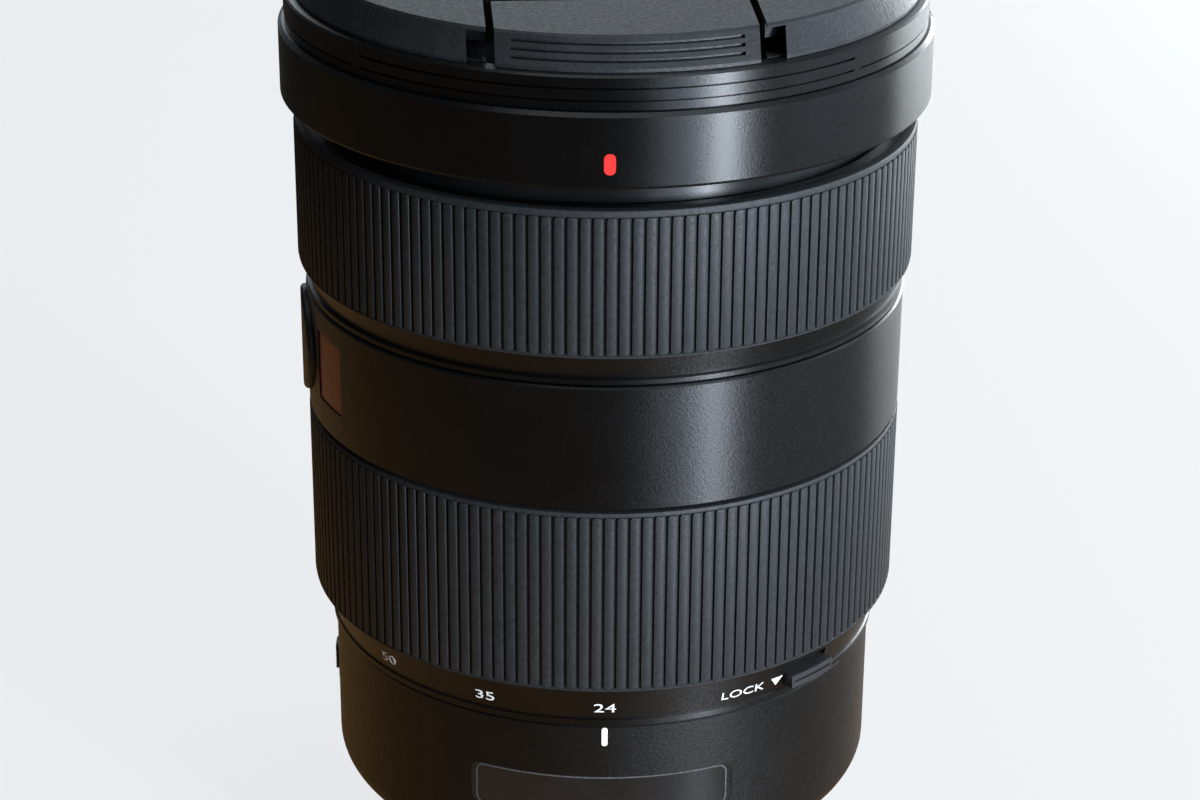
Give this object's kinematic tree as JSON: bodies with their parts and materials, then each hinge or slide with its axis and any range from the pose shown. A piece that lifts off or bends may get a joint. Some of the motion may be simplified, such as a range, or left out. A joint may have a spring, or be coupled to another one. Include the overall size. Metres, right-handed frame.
{
  "type": "camera zoom lens",
  "caption": "Large-aperture standard zoom lens with bayonet mount, ribbed zoom and focus rings, zoom lock, extending front barrel, iris and pinch front cap.",
  "frame": {"origin": "on the optical axis, level with the rear tip of the mount tube", "axes": "+Z along the optical axis towards the front; -Y is the side with the scale index and the name plate; +X is to the right seen from that side with the front up"},
  "size_m": [0.0876, 0.0876, 0.1438],
  "materials": {
    "barrel_black": "satin black, fine powder texture",
    "grip_rubber": "matt dark grey moulded rubber",
    "mount_metal": "bright plated brass, finely turned",
    "screw_steel": "zinc-plated steel",
    "black_plastic": "matt black",
    "cap_plastic": "fine-textured dark grey",
    "contact_gold": "gold-plated, polished",
    "plate_black": "satin black plate, bare",
    "badge_red": "red-brown enamel, bare",
    "tube_aluminium": "black-anodised, satin",
    "seal_felt": "black felt",
    "board_green": "solder-masked board",
    "flex_amber": "thin film ribbon",
    "coated_glass": "coated optical glass",
    "motor_metal": "drawn steel can",
    "blade_black": "matt black coated"
  },
  "bodies": {
    "main_barrel": {"mount_ring": "mount_metal", "mount_screws": "screw_steel", "mount_gasket": "grip_rubber", "contact_block": "black_plastic", "contact_pins": "contact_gold", "rear_baffle": "black_plastic", "rear_barrel": "barrel_black", "name_plate": "plate_black", "switch_plate": "black_plastic", "middle_barrel": "barrel_black", "badge_inlay": "badge_red", "guide_tube": "tube_aluminium", "main_board": "board_green", "board_flex": "flex_amber", "hold_switch": "black_plastic", "front_seal": "seal_felt"},
    "zoom": {"zoom_ring": "barrel_black", "zoom_rubber": "grip_rubber", "cam_tube": "tube_aluminium", "drive_key": "screw_steel"},
    "zoom_lock": {"zoom_lock": "black_plastic"},
    "front_barrel": {"front_ring": "barrel_black", "extension_tube": "tube_aluminium", "trim_ring": "black_plastic", "front_cell": "black_plastic", "front_lens_1": "coated_glass", "front_lens_2": "coated_glass", "front_followers": "screw_steel"},
    "variator": {"variator_cell": "black_plastic", "variator_lens_1": "coated_glass", "variator_lens_2": "coated_glass", "variator_followers": "screw_steel"},
    "relay": {"relay_cell": "black_plastic", "relay_lens_1": "coated_glass", "relay_lens_2": "coated_glass", "iris_plate": "black_plastic", "iris_motor": "motor_metal", "relay_followers": "screw_steel", "focus_rods": "screw_steel", "focus_motor": "motor_metal", "rear_lens": "coated_glass"},
    "iris_control": {"iris_ring": "black_plastic"},
    "focus_group": {"focus_cell": "black_plastic", "focus_lens": "coated_glass"},
    "focus_control": {"focus_ring": "barrel_black", "focus_rubber": "grip_rubber"},
    "hold_button": {"hold_button": "black_plastic"},
    "mode_switch": {"mode_switch": "black_plastic"},
    "front_cap": {"cap_body": "cap_plastic"},
    "cap_grip_front": {"cap_grip_front": "cap_plastic"},
    "cap_grip_back": {"cap_grip_back": "cap_plastic"},
    "iris_blade_1": {"iris_blade_1": "blade_black"},
    "iris_blade_2": {"iris_blade_2": "blade_black"},
    "iris_blade_3": {"iris_blade_3": "blade_black"},
    "iris_blade_4": {"iris_blade_4": "blade_black"},
    "iris_blade_5": {"iris_blade_5": "blade_black"},
    "iris_blade_6": {"iris_blade_6": "blade_black"},
    "iris_blade_7": {"iris_blade_7": "blade_black"},
    "iris_blade_8": {"iris_blade_8": "blade_black"},
    "iris_blade_9": {"iris_blade_9": "blade_black"}
  },
  "joints": [
    {"name": "zoom_turn", "type": "hinge", "parent": "main_barrel", "child": "zoom", "pos_m": [0, 0, 0.0675], "axis": [0, 0, 1], "range_deg": [0, 71]},
    {"name": "zoom_lock_slide", "type": "slide", "parent": "zoom", "child": "zoom_lock", "axis": [0, 0, 1], "range_m": [0, 0.0008]},
    {"name": "front_travel", "type": "slide", "parent": "main_barrel", "child": "front_barrel", "axis": [0, 0, 1], "range_m": [0, 0.03]},
    {"name": "variator_travel", "type": "slide", "parent": "main_barrel", "child": "variator", "axis": [0, 0, 1], "range_m": [-0.0025, 0]},
    {"name": "relay_travel", "type": "slide", "parent": "main_barrel", "child": "relay", "axis": [0, 0, 1], "range_m": [0, 0.012]},
    {"name": "iris_turn", "type": "hinge", "parent": "relay", "child": "iris_control", "pos_m": [0, 0, 0.054], "axis": [0, 0, 1], "range_deg": [0, 20]},
    {"name": "iris_blade_1_pivot", "type": "hinge", "parent": "relay", "child": "iris_blade_1", "pos_m": [0.026, 0, 0.0515], "axis": [0, 0, 1], "range_deg": [0, 22]},
    {"name": "iris_blade_2_pivot", "type": "hinge", "parent": "relay", "child": "iris_blade_2", "pos_m": [0.01992, 0.01671, 0.0515], "axis": [0, 0, 1], "range_deg": [0, 22]},
    {"name": "iris_blade_3_pivot", "type": "hinge", "parent": "relay", "child": "iris_blade_3", "pos_m": [0.00451, 0.0256, 0.0515], "axis": [0, 0, 1], "range_deg": [0, 22]},
    {"name": "iris_blade_4_pivot", "type": "hinge", "parent": "relay", "child": "iris_blade_4", "pos_m": [-0.013, 0.02252, 0.0515], "axis": [0, 0, 1], "range_deg": [0, 22]},
    {"name": "iris_blade_5_pivot", "type": "hinge", "parent": "relay", "child": "iris_blade_5", "pos_m": [-0.02443, 0.00889, 0.0515], "axis": [0, 0, 1], "range_deg": [0, 22]},
    {"name": "iris_blade_6_pivot", "type": "hinge", "parent": "relay", "child": "iris_blade_6", "pos_m": [-0.02443, -0.00889, 0.0515], "axis": [0, 0, 1], "range_deg": [0, 22]},
    {"name": "iris_blade_7_pivot", "type": "hinge", "parent": "relay", "child": "iris_blade_7", "pos_m": [-0.013, -0.02252, 0.0515], "axis": [0, 0, 1], "range_deg": [0, 22]},
    {"name": "iris_blade_8_pivot", "type": "hinge", "parent": "relay", "child": "iris_blade_8", "pos_m": [0.00451, -0.0256, 0.0515], "axis": [0, 0, 1], "range_deg": [0, 22]},
    {"name": "iris_blade_9_pivot", "type": "hinge", "parent": "relay", "child": "iris_blade_9", "pos_m": [0.01992, -0.01671, 0.0515], "axis": [0, 0, 1], "range_deg": [0, 22]},
    {"name": "focus_slide", "type": "slide", "parent": "relay", "child": "focus_group", "axis": [0, 0, 1], "range_m": [-0.004, 0.006]},
    {"name": "focus_turn", "type": "hinge", "parent": "main_barrel", "child": "focus_control", "pos_m": [0, 0, 0.11], "axis": [0, 0, 1], "continuous": true},
    {"name": "hold_button_press", "type": "slide", "parent": "main_barrel", "child": "hold_button", "axis": [0.9925, 0.1219, 0], "range_m": [0, 0.0006], "stiffness_N_per_m": 1500, "springref_m": -0.0006},
    {"name": "mode_switch_slide", "type": "slide", "parent": "main_barrel", "child": "mode_switch", "axis": [0, 0, 1], "range_m": [0, 0.003]},
    {"name": "front_cap_off", "type": "slide", "parent": "front_barrel", "child": "front_cap", "axis": [0, 0, 1], "range_m": [0, 0.03]},
    {"name": "cap_grip_front_squeeze", "type": "slide", "parent": "front_cap", "child": "cap_grip_front", "axis": [-0.0698, 0.9976, 0], "range_m": [0, 0.002], "stiffness_N_per_m": 1200, "springref_m": -0.001},
    {"name": "cap_grip_back_squeeze", "type": "slide", "parent": "front_cap", "child": "cap_grip_back", "axis": [0.0698, -0.9976, 0], "range_m": [0, 0.002], "stiffness_N_per_m": 1200, "springref_m": -0.001}
  ],
  "couplings": [
    {"joint": "front_travel", "follows": "zoom_turn", "m_per_rad": 0.024209},
    {"joint": "variator_travel", "follows": "zoom_turn", "m_per_rad": -0.0020174},
    {"joint": "relay_travel", "follows": "zoom_turn", "m_per_rad": 0.0096837},
    {"joint": "iris_blade_1_pivot", "follows": "iris_turn", "ratio": 1.1},
    {"joint": "iris_blade_2_pivot", "follows": "iris_turn", "ratio": 1.1},
    {"joint": "iris_blade_3_pivot", "follows": "iris_turn", "ratio": 1.1},
    {"joint": "iris_blade_4_pivot", "follows": "iris_turn", "ratio": 1.1},
    {"joint": "iris_blade_5_pivot", "follows": "iris_turn", "ratio": 1.1},
    {"joint": "iris_blade_6_pivot", "follows": "iris_turn", "ratio": 1.1},
    {"joint": "iris_blade_7_pivot", "follows": "iris_turn", "ratio": 1.1},
    {"joint": "iris_blade_8_pivot", "follows": "iris_turn", "ratio": 1.1},
    {"joint": "iris_blade_9_pivot", "follows": "iris_turn", "ratio": 1.1}
  ]
}
